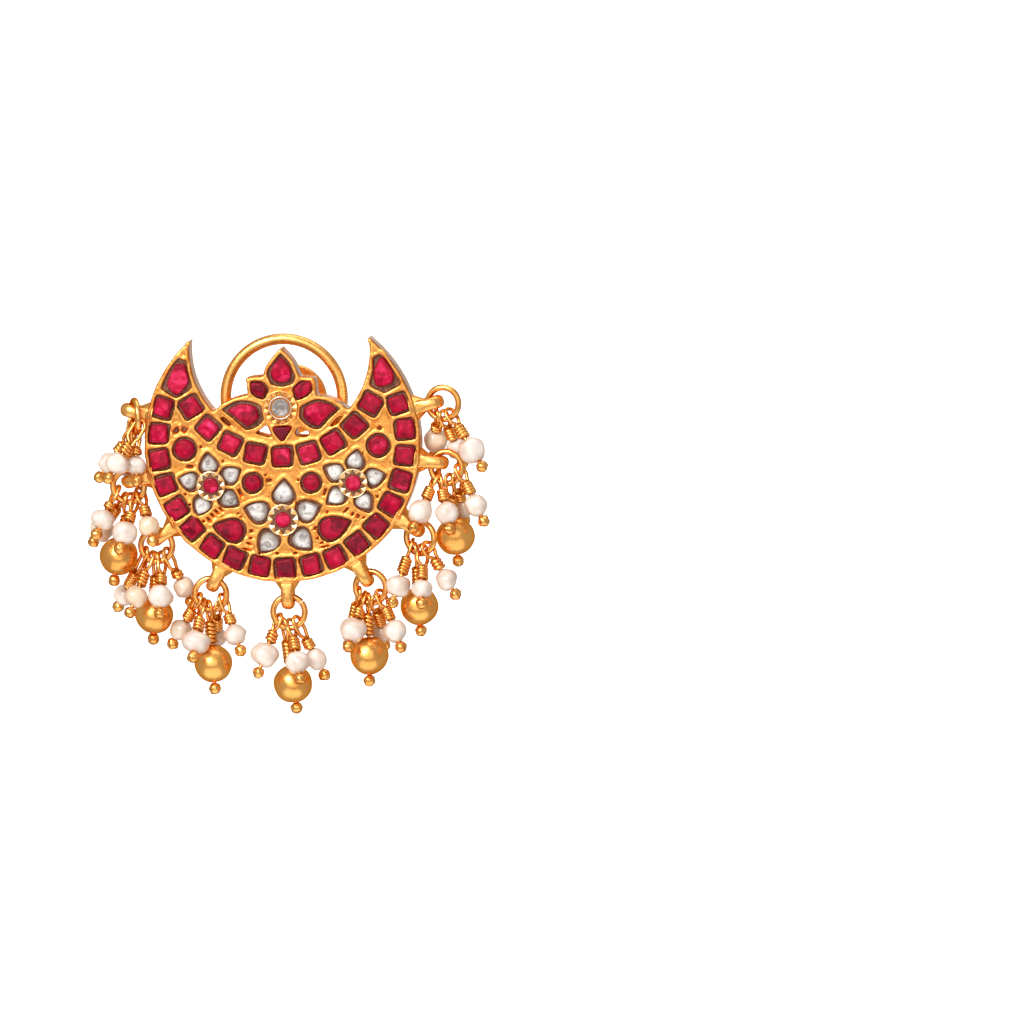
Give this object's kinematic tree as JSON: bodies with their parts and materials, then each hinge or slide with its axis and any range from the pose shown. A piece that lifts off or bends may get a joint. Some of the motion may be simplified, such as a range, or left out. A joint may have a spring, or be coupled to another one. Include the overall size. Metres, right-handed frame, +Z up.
{
  "type": "earring",
  "caption": "Crescent ear drop with stone-set lotus and flowers, hinged ear wire, post and nut, and a rim of jump rings with pearl and bead bunches on wrapped head pins.",
  "frame": {"origin": "foot of the ear post, on the post's axis at the plate's back", "axes": "+X to the right seen from the stone side, +Y out of the plate's back along the ear post, +Z up"},
  "size_m": [0.0451, 0.0172, 0.0419],
  "materials": {
    "gold": "satin gold with polished ridges",
    "gold_wire": "polished gold wire",
    "gold_bead": "softly brushed gold",
    "ruby": "cut red stone with a closed back",
    "polki": "cut colourless stone over foil",
    "pearl": "pearl lustre"
  },
  "bodies": {
    "setting": {"setting_plate": "gold", "outer_row_rubies": "ruby", "inner_row_rubies": "ruby", "lotus_rubies": "ruby", "lotus_centre_polki": "polki", "horn_ruby_1": "ruby", "horn_ruby_2": "ruby", "round_ruby_1": "ruby", "round_ruby_2": "ruby", "round_ruby_3": "ruby", "round_ruby_4": "ruby", "drop_ruby_1": "ruby", "drop_ruby_2": "ruby", "flower_ruby_1": "ruby", "flower_ruby_2": "ruby", "flower_ruby_3": "ruby", "flower_polki_1": "polki", "flower_polki_2": "polki", "flower_polki_3": "polki", "jump_ring_1": "gold_wire", "jump_ring_2": "gold_wire", "jump_ring_3": "gold_wire", "jump_ring_4": "gold_wire", "jump_ring_5": "gold_wire", "jump_ring_6": "gold_wire", "jump_ring_7": "gold_wire", "jump_ring_8": "gold_wire", "jump_ring_9": "gold_wire", "head_pins_1": "gold_wire", "head_pins_2": "gold_wire", "head_pins_3": "gold_wire", "head_pins_4": "gold_wire", "head_pins_5": "gold_wire", "head_pins_6": "gold_wire", "head_pins_7": "gold_wire", "head_pins_8": "gold_wire", "head_pins_9": "gold_wire", "pearls_1": "pearl", "pearls_2": "pearl", "pearls_3": "pearl", "pearls_4": "pearl", "pearls_5": "pearl", "pearls_6": "pearl", "pearls_7": "pearl", "pearls_8": "pearl", "pearls_9": "pearl", "gold_bead_2": "gold_bead", "gold_bead_3": "gold_bead", "gold_bead_4": "gold_bead", "gold_bead_5": "gold_bead", "gold_bead_6": "gold_bead", "gold_bead_7": "gold_bead", "gold_bead_8": "gold_bead"},
    "ear_wire": {"ear_loop": "gold"},
    "nut": {"ear_nut": "gold"}
  },
  "joints": [
    {"name": "loop_swing", "type": "hinge", "parent": "setting", "child": "ear_wire", "pos_m": [0, 0.00115, -0.007], "axis": [-1, 0, 0], "range_deg": [0, 95]},
    {"name": "nut_slide", "type": "slide", "parent": "setting", "child": "nut", "axis": [0, 1, 0], "range_m": [-0.0045, 0.0012]}
  ]
}
